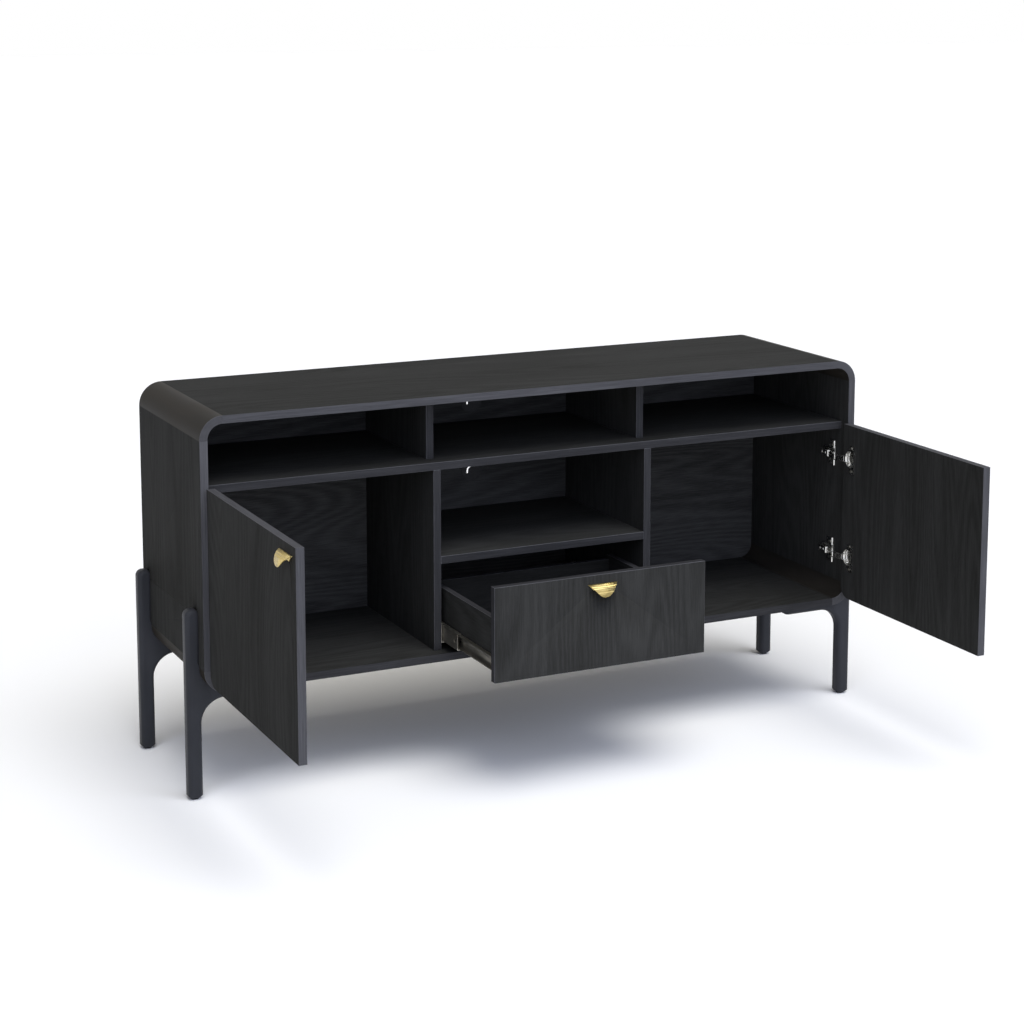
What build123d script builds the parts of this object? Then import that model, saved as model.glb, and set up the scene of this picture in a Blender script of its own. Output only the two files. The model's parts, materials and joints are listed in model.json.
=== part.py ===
"""Media cabinet: a board carcass with rounded corners on four bracket legs, two hinged doors and a drawer.

Millimetres. +X runs to the viewer's right along the width, +Y to the rear, +Z up, z = 0 on the floor.
The model is drawn with y = 0 on the carcass's front plane and moved at export, so that the origin is
under the middle of the whole object at rest. At rest both doors stand open at 90 degrees and the drawer
is pulled part of the way out.
"""

from build123d import *
import math
import os

# ---- carcass ----------------------------------------------------------------
body_width = 1400.0
body_depth = 380.0
body_height = 514.0
leg_clearance = 208.0        # floor to the underside of the body
board = 15.0                 # every carcass board
corner_radius = 44.0         # outside radius of the four rounded corners
back_thickness = 3.0
back_inset = 11.0            # rear edge of the body to the rear face of the back panel
groove_depth = 6.0
groove_play = 0.2            # groove wider than the back panel
groove_end_gap = 0.5         # back panel edge to the bottom of its groove

# ---- inside boards ----------------------------------------------------------
upper_bay_height = 116.5     # clear height of the open compartments
shelf_setback = 24.0         # front plane to the shelf and the lower dividers
upper_divider_setback = 58.0
centre_bay_width = 440.0     # clear width between the dividers
middle_shelf_drop = 168.5    # underside of the long shelf to the top of the middle shelf

# ---- legs -------------------------------------------------------------------
leg_thickness = 28.0         # square section of the post
leg_outside = 23.6           # how far the post stands outside the side panel
leg_rise = 152.5             # post height above the underside of the body
leg_front_setback = 44.8     # front plane to the middle of the front legs
leg_rear_setback = 32.1      # rear edge to the middle of the rear legs
branch_height = 20.0
branch_reach = 145.0         # side panel's outer face to the tip of the branch
branch_tip_radius = 19.0
arch_radius = 45.0
leg_edge_radius = 9.0
leg_top_radius = 12.5
foot_bevel = 4.5
glide_height = 3.0
glide_diameter = 17.0
glide_nail_diameter = 3.0
glide_nail_length = 14.0
glide_bevel = 0.8

# ---- doors ------------------------------------------------------------------
door_thickness = 15.0
door_side_gap = 2.0
door_bottom_gap = 3.0
door_middle_gap = 3.0        # free edge of a door to the drawer front
door_open_angle = 90.0
pivot_outward = 2.0          # virtual pivot, measured outwards from the side panel's inner face
pivot_back = 2.0             # virtual pivot, measured back from the front plane
hinge_top_drop = 70.5        # top of the door to the middle of the upper hinge
hinge_bottom_rise = 87.5     # bottom of the door to the middle of the lower hinge

# ---- drawer -----------------------------------------------------------------
drawer_pull_out = 215.0
drawer_front_overlap = 0.5   # drawer front past each divider's inner face
drawer_front_shelf_gap = 1.8     # top of the drawer front below the top of the middle shelf
drawer_side_thickness = 12.0
drawer_side_height = 97.0
drawer_side_rise = 18.0      # bottom panel to the underside of the drawer sides
drawer_inside_depth = 323.0
drawer_back_drop = 8.0
drawer_bottom_thickness = 3.0
drawer_bottom_rise = 5.0     # underside of the sides to the underside of the drawer bottom
drawer_groove = 5.0

# ---- ball-bearing slides ----------------------------------------------------
slide_space = 12.7           # divider to drawer side
slide_length = 300.0
slide_front = 25.0           # front plane to the front of the cabinet member, drawer closed
slide_rise = 15.0            # underside of the drawer side to the middle of the slide
middle_member_length = 260.0
middle_member_front = 63.5   # front plane to its front end, drawer closed
slide_wall = 1.2
middle_member_height = 32.0
ball_gap = 1.8               # raceway to raceway
ball_diameter = 1.2
retainer_thickness = 0.6
retainer_width = 3.0
retainer_length = 200.0
balls_per_row = 9
cabinet_flange = 6.3
middle_flange = 6.9
drawer_flange = 6.5

# ---- concealed hinges -------------------------------------------------------
cup_diameter = 35.0
cup_depth = 11.5
cup_setback = 22.5           # door edge to the middle of the cup
cup_wall = 1.0
flange_thickness = 1.2
flange_height = 58.0
flange_reach = 17.5          # cup middle to the far edge of the flange
flange_lip = 2.4
cup_screw_spacing = 48.0
cup_screw_setback = 28.0
plate_screw_line = 53.0      # front plane to the plate's screws
plate_screw_spacing = 32.0
plate_thickness = 2.5
wing_thickness = 3.0
wing_lip = 5.5
wing_height = 16.0
wing_gap = 20.0
plate_front = 42.0
wing_length = 22.0
arm_rear = 80.0
nose_inward = 22.0           # side panel's inner face to the arm's nose
nose_back = 14.0             # front plane to the arm's nose
nose_radius = 2.5
arm_width = 9.6
arm_block_width = 13.0
arm_block_inward = 17.0
arm_bevel = 4.0
adjuster_radius = 3.2
adjuster_rise = 0.8
adjuster_places = (22.0, 10.0)   # from the arm's rear end
adjuster_slot = (4.8, 0.8)   # length and width of the first one's slot
adjuster_slot_depth = 0.6
link_pin_inward = 17.0       # link's pin in the cup, with the door closed
link_pin_back = 14.5
link_pin_radius = 1.3
link_pin_play = 0.05
pin_seat = 0.5               # how far the pin's ends sit in the cup's wall
cup_relief_height = 9.0      # room above the cup's mouth for the link
flange_corner = 3.0
link_width = 13.0
link_plate = 1.2
link_end_radius = 2.8
link_web_thickness = 1.0
link_web_start = 8.0
link_web_length = 19.0
link_back_side = 4.0         # link's pin line to the outside of its web
link_open_side = 1.0         # link's pin line to its open side

# ---- pulls ------------------------------------------------------------------
pull_width = 60.5
pull_reach = 16.5            # how far the hood stands out from the panel
pull_fall = 22.0             # height of the hood's curve
pull_tip_rise = 1.0          # rounded tip below the end of the curve
pull_thickness = 2.0
pull_arc_middle = 40.0       # degrees, a point halfway along the hood's curve
pull_strip_height = 11.0     # strip behind the hood, on the panel
pull_side = ((1.0, 0.04), (0.81, 0.23), (0.5, 0.68), (0.31, 0.91))   # shares of half width and fall
pull_drop = 17.0             # top of the panel to the top of the pull
pull_edge_setback = 16.0     # free edge of a door to the end of its pull
pull_stud_spacing = 32.0
pull_stud_bite = 1.6

# ---- joinery and fasteners --------------------------------------------------
dowel_diameter = 8.0
corner_dowel_diameter = 6.0
corner_dowel_half = 12.0
dowel_deep = 18.0            # into the end of a board
dowel_shallow = 9.0          # into the face of a board
cam_diameter = 15.0
cam_depth = 12.0
cam_distance = 34.0          # board end to the middle of the cam
cam_bolt_diameter = 6.0
cam_bolt_bite = 10.0
cam_slot = (10.0, 2.0)       # length and width of the screwdriver slot
cam_slot_depth = 1.5
joint_end_distance = 60.0    # nearest dowel or cam to a board's front and rear edges
confirmat_diameter = 5.0
confirmat_head = 9.0
confirmat_head_height = 4.0
confirmat_bite = 35.0
key_size = 2.0               # hex recess, middle to corner
key_depth = 2.5
divider_screw_inset = 24.0   # end dowel to the joining screw beside it
screw_diameter = 3.5
screw_head = 7.0
screw_head_height = 1.6
screw_bite = 11.0
cross_recess = (4.0, 0.8)    # length and width of each bar of the cross
cross_depth = 0.6
leg_screw_diameter = 5.0
leg_screw_head = 9.0
leg_screw_sink = 1.0         # the branch's underside to the screw's head
leg_screw_bite = 0.75        # share of the bottom panel's thickness
slide_screw_head = 5.0
slide_screw_head_height = 0.8
cabinet_screw_places = (40.0, 150.0, 260.0)     # from the front of the slide
drawer_screw_places = (12.0, 150.0, 285.0)
slide_screw_bite = 0.7       # share of the drawer side's thickness
window_radius = 3.5          # holes along the middle member
window_first = 12.0
window_pitch = 60.0
window_count = 4
retainer_setback = 2.0       # middle member's front end to the ball retainers
drawer_joint_drops = (14.0, 40.0)    # top of the drawer's back to its screws
leg_dowel_rise = 132.0       # underside of the body to the dowel in a leg's post

# ---- cable covers -----------------------------------------------------------
cover_diameter = 46.0
cover_neck_diameter = 40.0
cover_thickness = 1.0
cover_neck_wall = 1.5
cover_neck_behind = 3.0      # neck past the back panel's rear face
cover_slot_radius = 9.5
cover_slot_width = 3.0
upper_cover_rise = 39.0      # top of the long shelf to the middle of the upper cover
lower_cover_rise = 77.0      # top of the middle shelf to the middle of the lower cover

# ---- worked out -------------------------------------------------------------
half = body_width / 2
inner_half = half - board
inner_radius = corner_radius - board
z_low = leg_clearance
z_floor = z_low + board
z_high = z_low + body_height
z_ceiling = z_high - board
shelf_top = z_ceiling - upper_bay_height
shelf_under = shelf_top - board
middle_top = shelf_under - middle_shelf_drop
middle_under = middle_top - board
bay_half = centre_bay_width / 2
back_rear = body_depth - back_inset
back_front = back_rear - back_thickness
board_rear = back_front
seam_x = half - corner_radius
seam_z = (z_low + corner_radius, z_high - corner_radius)

door_hinge_x = -inner_half + door_side_gap
drawer_front_half = bay_half + drawer_front_overlap
door_free_x = -drawer_front_half - door_middle_gap
door_low = z_floor + door_bottom_gap
door_high = shelf_top
pivot = (-inner_half - pivot_outward, pivot_back)
door_tip_y = pivot[1] - (door_free_x - pivot[0])
origin_shift = -(door_tip_y + body_depth) / 2
hinge_heights = (door_low + hinge_bottom_rise, door_high - hinge_top_drop)
cup_x = door_hinge_x + cup_setback
cup_floor = door_thickness - cup_depth
cup_screw_x = door_hinge_x + cup_screw_setback
link_pin = (-inner_half + link_pin_inward, link_pin_back)
nose = (-inner_half + nose_inward, nose_back)

drawer_side_outer = bay_half - slide_space
drawer_side_inner = drawer_side_outer - drawer_side_thickness
drawer_low = z_floor + drawer_side_rise
drawer_high = drawer_low + drawer_side_height
drawer_front_low = door_low
drawer_front_high = middle_top - drawer_front_shelf_gap
drawer_rear = door_thickness + drawer_inside_depth
drawer_box_rear = drawer_rear + drawer_side_thickness
slide_z = drawer_low + slide_rise
leg_middle = half + leg_outside - leg_thickness / 2
leg_rows = (leg_front_setback, body_depth - leg_rear_setback)
joint_front = shelf_setback + joint_end_distance
joint_rear = board_rear - joint_end_distance
joint_middle = (joint_front + joint_rear) / 2
upper_joint_front = upper_divider_setback + joint_end_distance

cutter_overrun = 1.0         # how far a cutting tool runs past the face it opens

nodes = {}


# ---- helpers ----------------------------------------------------------------
def block(x, y, z):
    """A box between two values on each axis."""
    size = (abs(x[1] - x[0]), abs(y[1] - y[0]), abs(z[1] - z[0]))
    return Pos((x[0] + x[1]) / 2, (y[0] + y[1]) / 2, (z[0] + z[1]) / 2) * Box(*size)


def rod_x(radius, x, y, z):
    """A cylinder along X from x[0] to x[1]."""
    middle = Pos((x[0] + x[1]) / 2, y, z)
    return middle * Rot(0, 90, 0) * Cylinder(radius, abs(x[1] - x[0]))


def rod_y(radius, x, y, z):
    """A cylinder along Y from y[0] to y[1]."""
    middle = Pos(x, (y[0] + y[1]) / 2, z)
    return middle * Rot(90, 0, 0) * Cylinder(radius, abs(y[1] - y[0]))


def rod_z(radius, x, y, z):
    """A cylinder along Z from z[0] to z[1]."""
    return Pos(x, y, (z[0] + z[1]) / 2) * Cylinder(radius, abs(z[1] - z[0]))


def flip(shape):
    """The same piece on the other side of the cabinet."""
    return mirror(shape, about=Plane.YZ)


def swing(shape):
    """A left door piece turned from closed to its rest pose."""
    turn = Pos(pivot[0], pivot[1], 0) * Rot(0, 0, -door_open_angle) * Pos(-pivot[0], -pivot[1], 0)
    return turn * shape


def cut(shape, tools):
    """The shape less every tool in a list."""
    for tool in tools:
        shape = shape - tool
    return shape


def carcass_outline(grow, radius, depth_range):
    """A rounded prism parallel to the inside of the carcass, grown by a distance."""
    width = 2 * (inner_half + grow)
    height = z_ceiling - z_floor + 2 * grow
    sketch = RectangleRounded(width, height, radius)
    plane = Plane(origin=(0, depth_range[1], (z_floor + z_ceiling) / 2), x_dir=(1, 0, 0), z_dir=(0, -1, 0))
    return extrude(plane * sketch, depth_range[1] - depth_range[0])


# ---- joinery ----------------------------------------------------------------
def make_corner_dowels():
    """Dowels that hold each rounded corner to the boards on both sides of it."""
    radius = corner_dowel_diameter / 2
    rows = (joint_end_distance, body_depth / 2, body_depth - joint_end_distance)
    dowels = []
    for side in (-1, 1):
        for y in rows:
            for z in (z_low + board / 2, z_high - board / 2):
                span = (side * (seam_x - corner_dowel_half), side * (seam_x + corner_dowel_half))
                dowels.append(rod_x(radius, span, y, z))
            for z in seam_z:
                span = (z - corner_dowel_half, z + corner_dowel_half)
                dowels.append(rod_z(radius, side * (half - board / 2), y, span))
    return dowels


def make_board_dowels():
    """Dowels between the dividers, the shelves and the panels."""
    radius = dowel_diameter / 2
    dowels = []
    for side in (-1, 1):
        x = side * (bay_half + board / 2)
        for y in (upper_joint_front, joint_rear):
            dowels.append(rod_z(radius, x, y, (z_ceiling - dowel_deep, z_ceiling + dowel_shallow)))
        for y in (joint_front, joint_rear):
            dowels.append(rod_z(radius, x, y, (shelf_under - dowel_deep, shelf_under + dowel_shallow)))
        shelf_span = (side * (inner_half - dowel_deep), side * (inner_half + dowel_shallow))
        dowels.append(rod_x(radius, shelf_span, joint_middle, shelf_top - board / 2))
        middle_span = (side * (bay_half - dowel_deep), side * (bay_half + dowel_shallow))
        dowels.append(rod_x(radius, middle_span, joint_middle, middle_top - board / 2))
    return dowels


def make_leg_dowels():
    """One dowel between each post and the side panel."""
    dowels = []
    for side in (-1, 1):
        for y in leg_rows:
            span = (side * (half - dowel_shallow), side * (half + dowel_shallow))
            dowels.append(rod_x(dowel_diameter / 2, span, y, z_low + leg_dowel_rise))
    return dowels


def make_cams():
    """Cam discs in the undersides of the shelves, with the bolts that they pull on."""
    discs = []
    bolts = []
    for end, under in ((inner_half, shelf_under), (bay_half, middle_under)):
        for side in (-1, 1):
            for y in (joint_front, joint_rear):
                x = side * (end - cam_distance)
                disc = rod_z(cam_diameter / 2, x, y, (under, under + cam_depth))
                span = (side * (end - cam_distance), side * (end + cam_bolt_bite))
                bolt = rod_x(cam_bolt_diameter / 2, span, y, under + board / 2)
                slot_x = (x - cam_slot[1] / 2, x + cam_slot[1] / 2)
                slot_y = (y - cam_slot[0] / 2, y + cam_slot[0] / 2)
                slot = block(slot_x, slot_y, (under, under + cam_slot_depth))
                discs.append(disc - bolt - slot)
                bolts.append(bolt)
    return discs, bolts


def confirmat_up(x, y, z, length):
    """A joining screw driven upwards, its flat head flush at z."""
    head = Pos(x, y, z + confirmat_head_height / 2) * Cone(
        confirmat_head / 2, confirmat_diameter / 2, confirmat_head_height
    )
    shank = rod_z(confirmat_diameter / 2, x, y, (z + confirmat_head_height, z + length))
    return head + shank


def hex_socket(x, y, z):
    """The key recess in a joining screw's head."""
    socket = extrude(RegularPolygon(key_size, 6), key_depth)
    return Pos(x, y, z) * socket


def make_divider_screws():
    """Joining screws from under the shelf and the bottom panel into the dividers."""
    solids = []
    keys = []
    for side in (-1, 1):
        x = side * (bay_half + board / 2)
        for y in (upper_joint_front + divider_screw_inset, joint_rear - divider_screw_inset):
            solids.append(confirmat_up(x, y, shelf_under, board + confirmat_bite))
            keys.append(hex_socket(x, y, shelf_under))
        for y in (joint_front, joint_rear):
            solids.append(confirmat_up(x, y, z_low, board + confirmat_bite))
            keys.append(hex_socket(x, y, z_low))
    return solids, keys


# ---- carcass ----------------------------------------------------------------
corner_dowels = make_corner_dowels()
board_dowels = make_board_dowels()
leg_dowels = make_leg_dowels()
cam_discs, cam_bolts = make_cams()
divider_screws, divider_screw_keys = make_divider_screws()
back_groove = carcass_outline(
    groove_depth, inner_radius + groove_depth, (back_front - groove_play, back_rear)
)
full_depth = (0, body_depth)


def corner_piece(side, top):
    """One quarter-round corner of the carcass."""
    z = seam_z[1] if top else seam_z[0]
    ring = Cylinder(corner_radius, body_depth) - Cylinder(inner_radius, body_depth)
    quadrant = Box(2 * corner_radius, 2 * corner_radius, body_depth)
    quarter = ring & (Pos(corner_radius, corner_radius, 0) * quadrant)
    turned = Pos(0, body_depth / 2, 0) * Rot(90, 0, 0) * quarter
    if not top:
        turned = mirror(turned, about=Plane.XY)
    placed = Pos(seam_x, 0, z) * turned
    if side < 0:
        placed = flip(placed)
    return cut(placed, [back_groove] + corner_dowels)


def make_leg(side, y):
    """A post that rises outside the side panel, with a branch under the bottom panel."""
    outer = half + leg_outside
    inner = outer - leg_thickness
    branch_low = z_low - branch_height
    tip = half - branch_reach
    arch_x = inner - arch_radius
    arch_z = branch_low - arch_radius
    top = z_low + leg_rise
    inside = z_low + board / 2
    quarter = math.sqrt(0.5)
    with BuildSketch(Plane.XZ) as profile:
        with BuildLine():
            Line((inner, glide_height), (outer, glide_height))
            Line((outer, glide_height), (outer, top - leg_top_radius))
            RadiusArc((outer, top - leg_top_radius), (outer - leg_top_radius, top), -leg_top_radius)
            Line((outer - leg_top_radius, top), (inner + leg_top_radius, top))
            RadiusArc((inner + leg_top_radius, top), (inner, top - leg_top_radius), -leg_top_radius)
            Line((inner, top - leg_top_radius), (inner, z_low + corner_radius))
            Line((inner, z_low + corner_radius), (seam_x, inside))
            Line((seam_x, inside), (tip, inside))
            Line((tip, inside), (tip, branch_low + branch_tip_radius))
            ThreePointArc(
                (tip, branch_low + branch_tip_radius),
                (tip + branch_tip_radius * (1 - quarter), branch_low + branch_tip_radius * (1 - quarter)),
                (tip + branch_tip_radius, branch_low),
            )
            Line((tip + branch_tip_radius, branch_low), (arch_x, branch_low))
            ThreePointArc(
                (arch_x, branch_low),
                (arch_x + arch_radius * quarter, arch_z + arch_radius * quarter),
                (inner, arch_z),
            )
            Line((inner, arch_z), (inner, glide_height))
        make_face()
    leg = extrude(profile.sketch, leg_thickness / 2, both=True)
    rims = []
    for edge in leg.edges():
        middle = edge.center()
        on_face = abs(abs(middle.Y) - leg_thickness / 2) < 0.01
        against_body = z_low < middle.Z < top - 1 and middle.X < inner + 1
        on_floor = middle.Z < glide_height + 0.1
        if on_face and not against_body and not on_floor:
            rims.append(edge)
    leg = fillet(rims, leg_edge_radius)
    foot = leg.faces().sort_by(Axis.Z)[0]
    leg = chamfer(foot.edges(), foot_bevel)
    leg = Pos(0, y, 0) * leg
    leg = leg - carcass_outline(board, corner_radius, full_depth)
    nail_hole = rod_z(glide_nail_diameter / 2, leg_middle, y, (0, glide_height + glide_nail_length))
    leg = leg - nail_hole
    if side < 0:
        leg = flip(leg)
    return leg


def make_leg_screws(side, y):
    """Two countersunk screws up through the branch into the bottom panel."""
    branch_low = z_low - branch_height
    inner = half + leg_outside - leg_thickness
    near = inner - arch_radius - leg_screw_head
    far = half - branch_reach + branch_tip_radius + leg_screw_head
    screws = []
    for x in (near, far):
        foot = branch_low + leg_screw_sink
        head = Pos(side * x, y, foot + confirmat_head_height / 2) * Cone(
            leg_screw_head / 2, leg_screw_diameter / 2, confirmat_head_height
        )
        top = z_low + board * leg_screw_bite
        shank = rod_z(leg_screw_diameter / 2, side * x, y, (foot + confirmat_head_height, top))
        screws.append(head + shank)
    return screws


def screw_well(screw):
    """The hole below a sunk screw head, down to the branch's underside."""
    box = screw.bounding_box()
    x = (box.min.X + box.max.X) / 2
    y = (box.min.Y + box.max.Y) / 2
    return rod_z(leg_screw_head / 2, x, y, (box.min.Z - leg_screw_sink, box.min.Z))


leg_screws = []
for side in (-1, 1):
    for y in leg_rows:
        leg_screws += make_leg_screws(side, y)
leg_wells = [screw_well(screw) for screw in leg_screws]

panel_tools = [back_groove] + corner_dowels + board_dowels + divider_screws + leg_screws
side_tools = [back_groove] + corner_dowels + board_dowels + cam_bolts + leg_dowels
nodes["top_panel"] = cut(block((-seam_x, seam_x), full_depth, (z_ceiling, z_high)), panel_tools)
nodes["bottom_panel"] = cut(block((-seam_x, seam_x), full_depth, (z_low, z_floor)), panel_tools)
for name, top in (("top", True), ("bottom", False)):
    nodes[name + "_left_corner"] = corner_piece(-1, top)
    nodes[name + "_right_corner"] = corner_piece(1, top)

for name, side in (("left", -1), ("right", 1)):
    divider_x = (side * bay_half, side * (bay_half + board))
    upper = block(divider_x, (upper_divider_setback, board_rear), (shelf_top, z_ceiling))
    lower = block(divider_x, (shelf_setback, board_rear), (z_floor, shelf_under))
    nodes["upper_%s_divider" % name] = cut(upper, board_dowels + divider_screws)
    nodes["lower_%s_divider" % name] = cut(lower, board_dowels + divider_screws + cam_bolts)


def cam_pockets(end, under):
    """The bores for a shelf's four cam discs; end is half the shelf's length, under its underside."""
    pockets = []
    for side in (-1, 1):
        for y in (joint_front, joint_rear):
            x = side * (end - cam_distance)
            pockets.append(rod_z(cam_diameter / 2, x, y, (under, under + cam_depth)))
    return pockets


shelf = block((-inner_half, inner_half), (shelf_setback, board_rear), (shelf_under, shelf_top))
shelf_tools = cam_pockets(inner_half, shelf_under) + cam_bolts + board_dowels + divider_screws
nodes["long_shelf"] = cut(shelf, shelf_tools)
middle = block((-bay_half, bay_half), (shelf_setback, board_rear), (middle_under, middle_top))
nodes["middle_shelf"] = cut(middle, cam_pockets(bay_half, middle_under) + cam_bolts + board_dowels)

# ---- back panel and cable covers --------------------------------------------
cover_heights = {"upper": shelf_top + upper_cover_rise, "lower": middle_top + lower_cover_rise}
back_grow = groove_depth - groove_end_gap
back = carcass_outline(back_grow, inner_radius + back_grow, (back_front, back_rear))
for z in cover_heights.values():
    back = back - rod_y(cover_neck_diameter / 2, 0, (back_front, back_rear), z)
nodes["back_panel"] = back


def cable_cover(z):
    """A snap-in cover with a curved slot for a cable."""
    disc = rod_y(cover_diameter / 2, 0, (back_front - cover_thickness, back_front), z)
    neck_y = (back_front, back_rear + cover_neck_behind)
    neck = rod_y(cover_neck_diameter / 2, 0, neck_y, z)
    bore = rod_y(cover_neck_diameter / 2 - cover_neck_wall, 0, neck_y, z)
    reach = (back_front - cover_thickness - cutter_overrun, back_front + cutter_overrun)
    outer = rod_y(cover_slot_radius + cover_slot_width / 2, 0, reach, z)
    inner = rod_y(cover_slot_radius - cover_slot_width / 2, 0, reach, z)
    quadrant = block((-2 * cover_slot_radius, 0), reach, (z, z + 2 * cover_slot_radius))
    tail = block(
        (-cover_slot_radius - cover_slot_width / 2, -cover_slot_radius + cover_slot_width / 2),
        reach,
        (z - cover_slot_radius / 2, z),
    )
    slot = ((outer - inner) & quadrant) + tail
    return disc + (neck - bore) - slot


for name, z in cover_heights.items():
    nodes[name + "_cable_cover"] = cable_cover(z)

# ---- legs -------------------------------------------------------------------
glides = []
for row, y in zip(("front", "rear"), leg_rows):
    for name, side in (("left", -1), ("right", 1)):
        nodes["%s_%s_leg" % (row, name)] = cut(make_leg(side, y), leg_dowels + leg_screws + leg_wells)
        pad = rod_z(glide_diameter / 2, side * leg_middle, y, (0, glide_height))
        nail = rod_z(
            glide_nail_diameter / 2, side * leg_middle, y, (glide_height, glide_height + glide_nail_length)
        )
        glides.append(chamfer(pad.faces().sort_by(Axis.Z)[0].edges(), glide_bevel) + nail)
nodes["foot_glides"] = Compound(children=glides)
nodes["leg_screws"] = Compound(children=leg_screws)
nodes["carcass_dowels"] = Compound(children=corner_dowels + board_dowels + leg_dowels)
nodes["shelf_cams"] = Compound(children=cam_discs)
nodes["shelf_cam_bolts"] = Compound(children=cam_bolts)
nodes["divider_screws"] = Compound(children=[cut(s, divider_screw_keys) for s in divider_screws])


# ---- concealed hinges -------------------------------------------------------
def prism(points, z_range):
    """A polygon in plan, between two heights."""
    face = make_face(Polyline(*points, close=True))
    return Pos(0, 0, z_range[0]) * extrude(face, z_range[1] - z_range[0], dir=(0, 0, 1))


def along(start, direction, distance, offset):
    """A plan point beside a line, offset to its left."""
    x = start[0] + distance * direction[0] - offset * direction[1]
    y = start[1] + distance * direction[1] + offset * direction[0]
    return (x, y)


def hinge_cup(z):
    """The pressed cup and its flange in the door, door closed."""
    mouth = door_thickness
    shell = rod_y(cup_diameter / 2, cup_x, (cup_floor, mouth + flange_thickness), z)
    bore_y = (cup_floor + cup_wall, mouth + cup_relief_height)
    bore = rod_y(cup_diameter / 2 - cup_wall, cup_x, bore_y, z)
    edge = cup_x + flange_reach
    flange = block(
        (cup_x, edge), (mouth, mouth + flange_thickness), (z - flange_height / 2, z + flange_height / 2)
    )
    flange = fillet(flange.edges().filter_by(Axis.Y), flange_corner)
    lip = block(
        (edge - flange_thickness, edge),
        (mouth + flange_thickness, mouth + flange_thickness + flange_lip),
        (z - flange_height / 2 + flange_corner, z + flange_height / 2 - flange_corner),
    )
    relief = block(
        (cup_x - cup_diameter, link_pin[0] + link_end_radius + cutter_overrun),
        (mouth, mouth + flange_thickness + cutter_overrun),
        (z - cup_diameter, z + cup_diameter),
    )
    cup = shell + flange + lip - bore - relief - hinge_pin(z, link_pin_radius + link_pin_play)
    for side in (-1, 1):
        height = z + side * cup_screw_spacing / 2
        cup = cup - rod_y(screw_diameter / 2, cup_screw_x, (mouth, mouth + flange_thickness), height)
    return cup


def cup_screws(z):
    """The two screws that hold the flange on the door."""
    screws = []
    for side in (-1, 1):
        height = z + side * cup_screw_spacing / 2
        face = door_thickness + flange_thickness
        head = rod_y(screw_head / 2, cup_screw_x, (face, face + screw_head_height), height)
        shank = rod_y(screw_diameter / 2, cup_screw_x, (door_thickness - screw_bite, face), height)
        top = face + screw_head_height
        for width, length in (cross_recess, cross_recess[::-1]):
            bar_x = (cup_screw_x - width / 2, cup_screw_x + width / 2)
            head = head - block(bar_x, (top - cross_depth, top), (height - length / 2, height + length / 2))
        screws.append(head + shank)
    return screws


def hinge_pin(z, radius):
    """The pin that the link turns on, across the cup, its ends seated in the cup's wall."""
    reach = cup_diameter / 2 - cup_wall + pin_seat
    offset = cup_x - link_pin[0]
    chord = math.sqrt(reach**2 - offset**2)
    return rod_z(radius, link_pin[0], link_pin[1], (z - chord, z + chord))


def hinge_plate(z):
    """The winged mounting plate on the side panel."""
    wall = -inner_half
    middle_z = (z - wing_gap / 2, z + wing_gap / 2)
    plate = block((wall, wall + plate_thickness), (plate_front, arm_rear), middle_z)
    for side in (-1, 1):
        span = (z + side * wing_gap / 2, z + side * (wing_gap / 2 + wing_height))
        wing = block((wall, wall + wing_thickness), (plate_front, plate_front + wing_length), span)
        lip = block((wall, wall + wing_lip), (plate_front, plate_front + wing_thickness / 2), span)
        plate = plate + wing + lip
        height = z + side * plate_screw_spacing / 2
        plate = plate - rod_x(screw_diameter / 2, (wall, wall + wing_thickness), plate_screw_line, height)
    return plate


def plate_screws(z):
    """The two screws of a mounting plate."""
    wall = -inner_half
    screws = []
    for side in (-1, 1):
        height = z + side * plate_screw_spacing / 2
        face = wall + wing_thickness
        head = rod_x(screw_head / 2, (face, face + screw_head_height), plate_screw_line, height)
        shank = rod_x(screw_diameter / 2, (wall - screw_bite, face), plate_screw_line, height)
        top = face + screw_head_height
        for width, length in (cross_recess, cross_recess[::-1]):
            bar_y = (plate_screw_line - width / 2, plate_screw_line + width / 2)
            head = head - block((top - cross_depth, top), bar_y, (height - length / 2, height + length / 2))
        screws.append(head + shank)
    return screws


def hinge_arm(z):
    """The arm on the plate, narrowing to the nose that holds the link."""
    wall = -inner_half
    low = wall + plate_thickness
    high = wall + arm_block_inward
    root = plate_front + nose_radius
    narrow = (z - arm_width / 2, z + arm_width / 2)
    wide = (z - arm_block_width / 2, z + arm_block_width / 2)
    neck = prism(
        [
            (nose[0] - nose_radius, nose[1]),
            (nose[0] + nose_radius, nose[1]),
            (high, root),
            (high - 2 * nose_radius, root),
        ],
        narrow,
    )
    tip = rod_z(nose_radius, nose[0], nose[1], narrow)
    body = block((low, high), (root, arm_rear), wide)
    body = chamfer(body.edges().filter_by(Axis.Z).sort_by(Axis.X)[-2:], arm_bevel)
    arm = neck + tip + body
    face = high + adjuster_rise
    for place in adjuster_places:
        arm = arm + rod_x(adjuster_radius, (high, face), arm_rear - place, z)
    slot_y = arm_rear - adjuster_places[0]
    slot = block(
        (face - adjuster_slot_depth, face),
        (slot_y - adjuster_slot[0] / 2, slot_y + adjuster_slot[0] / 2),
        (z - adjuster_slot[1] / 2, z + adjuster_slot[1] / 2),
    )
    return arm - slot


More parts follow.
